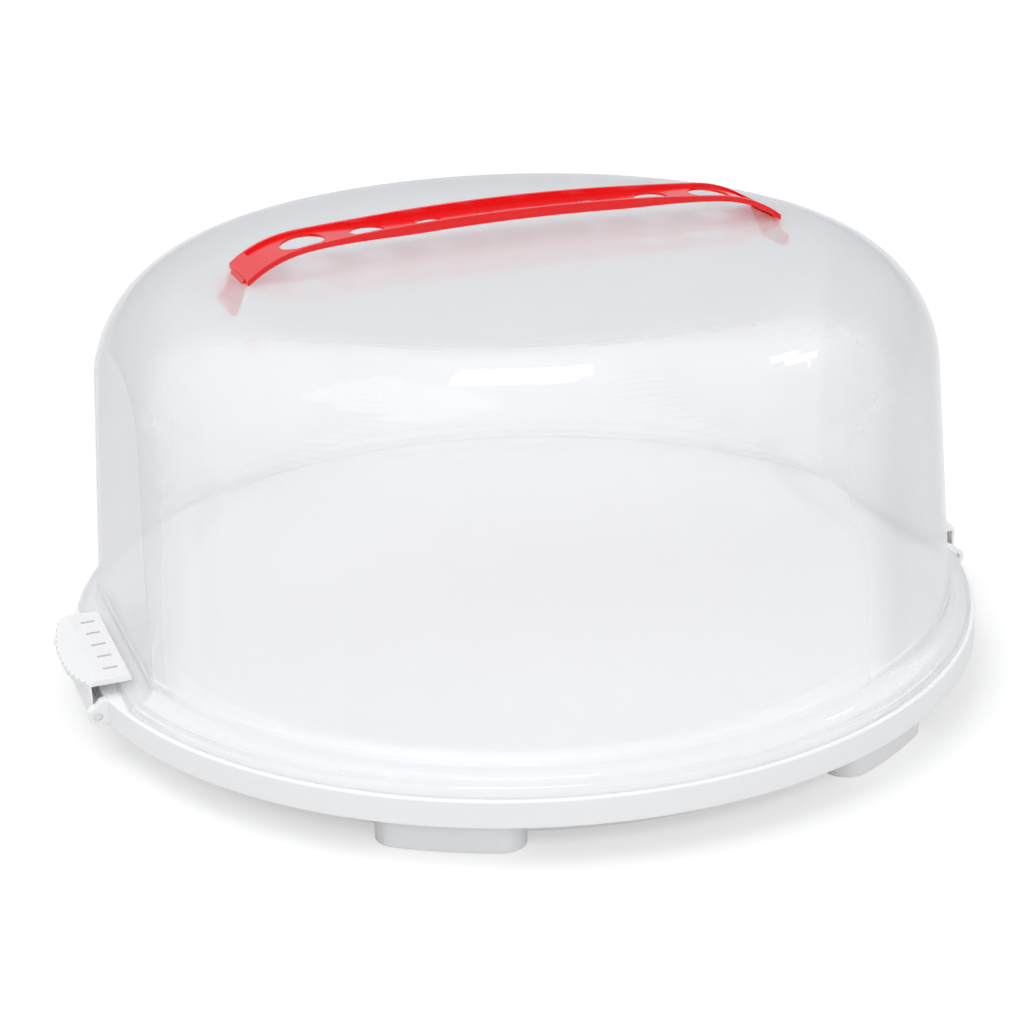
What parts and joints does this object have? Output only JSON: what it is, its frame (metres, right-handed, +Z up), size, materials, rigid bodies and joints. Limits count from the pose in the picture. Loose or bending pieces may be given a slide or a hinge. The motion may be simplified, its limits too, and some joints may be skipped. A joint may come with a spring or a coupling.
{
  "type": "cake carrier",
  "caption": "Round cake carrier: footed white tray, clear domed cover with flat sides, red perforated strap handle and hinged side latches.",
  "frame": {"origin": "centre of the tray on the surface that the feet stand on", "axes": "+Z up, +X along the strap handle and through the latch on the right, +Y to the back"},
  "size_m": [0.3438, 0.3308, 0.1668],
  "materials": {
    "tray_plastic": "satin moulded polypropylene",
    "dome_plastic": "clear, slightly milky polypropylene",
    "handle_plastic": "smooth flexible plastic",
    "latch_plastic": "satin moulded polypropylene"
  },
  "bodies": {
    "tray": {"tray": "tray_plastic"},
    "dome": {"dome": "dome_plastic", "handle": "handle_plastic"},
    "latch_left": {"latch_left": "latch_plastic"},
    "latch_right": {"latch_right": "latch_plastic"}
  },
  "joints": [
    {"name": "dome_lift", "type": "slide", "parent": "tray", "child": "dome", "axis": [0, 0, 1], "range_m": [0, 0.18]},
    {"name": "latch_left_swing", "type": "hinge", "parent": "tray", "child": "latch_left", "pos_m": [-0.1656, 0, 0.0166], "axis": [0, -1, 0], "range_deg": [0, 105]},
    {"name": "latch_right_swing", "type": "hinge", "parent": "tray", "child": "latch_right", "pos_m": [0.1656, 0, 0.0166], "axis": [0, 1, 0], "range_deg": [0, 105]}
  ]
}
